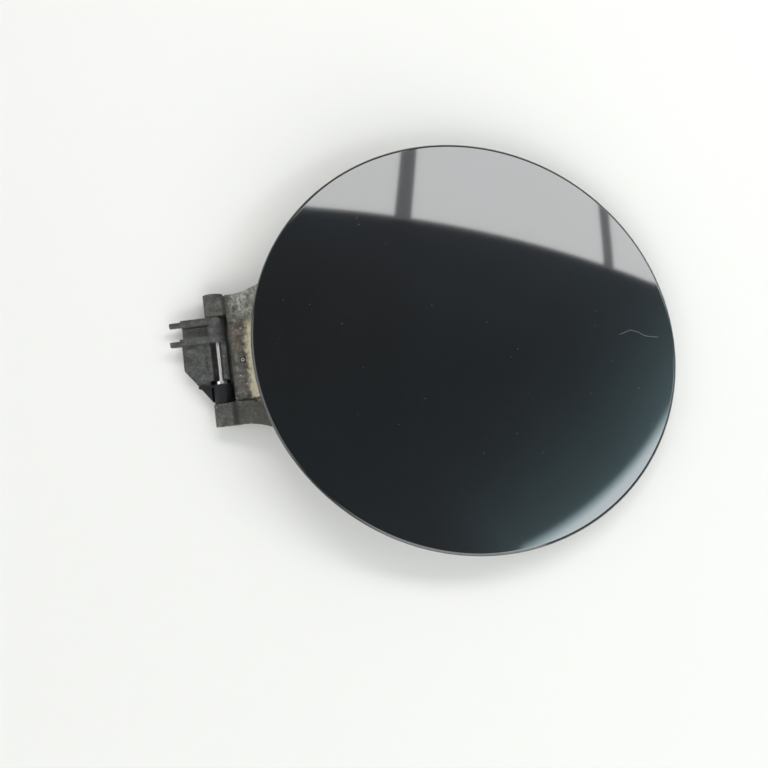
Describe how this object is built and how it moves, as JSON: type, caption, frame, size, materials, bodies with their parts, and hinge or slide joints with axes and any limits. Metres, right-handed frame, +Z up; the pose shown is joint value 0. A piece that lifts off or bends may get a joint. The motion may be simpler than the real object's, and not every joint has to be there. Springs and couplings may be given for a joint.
{
  "type": "fuel filler flap",
  "caption": "Oval domed fuel filler flap: painted lid on a flared plastic hinge arm, steel pin in a plastic hinge base, rubber stops and a latch keeper on its back.",
  "frame": {"origin": "on the hinge base's flat mounting face, right under the middle of the hinge axis", "axes": "+Z up out of the mounting face, Y along the hinge axis, +X from the hinge towards the lid"},
  "size_m": [0.2092, 0.1698, 0.0267],
  "materials": {
    "lid_paint": "dark blue-black metallic paint under gloss clear coat",
    "panel_paint": "thin satin coat of the lid's colour",
    "arm_plastic": "black moulded plastic, greyed and dusty",
    "base_plastic": "black moulded plastic, greyed",
    "keeper_plastic": "black moulded plastic",
    "bumper_rubber": "matt black rubber",
    "pin_steel": "bright plated steel",
    "spring_steel": "drawn spring wire",
    "screw_steel": "plated steel"
  },
  "bodies": {
    "base": {"hinge_base": "base_plastic", "return_spring": "spring_steel"},
    "lid": {"outer_skin": "lid_paint", "inner_panel": "panel_paint", "hinge_arm": "arm_plastic", "arm_screws": "screw_steel", "latch_catch": "keeper_plastic", "catch_screws": "screw_steel", "bumper_upper": "bumper_rubber", "bumper_lower": "bumper_rubber", "hinge_pin": "pin_steel", "pin_clip": "pin_steel"}
  },
  "joints": [
    {"name": "lid_hinge", "type": "hinge", "parent": "base", "child": "lid", "pos_m": [0, 0, 0.005], "axis": [0, -1, 0], "range_deg": [0, 85], "stiffness_Nm_per_rad": 0.04, "springref_deg": -28.65, "deforming": ["return_spring"]}
  ]
}
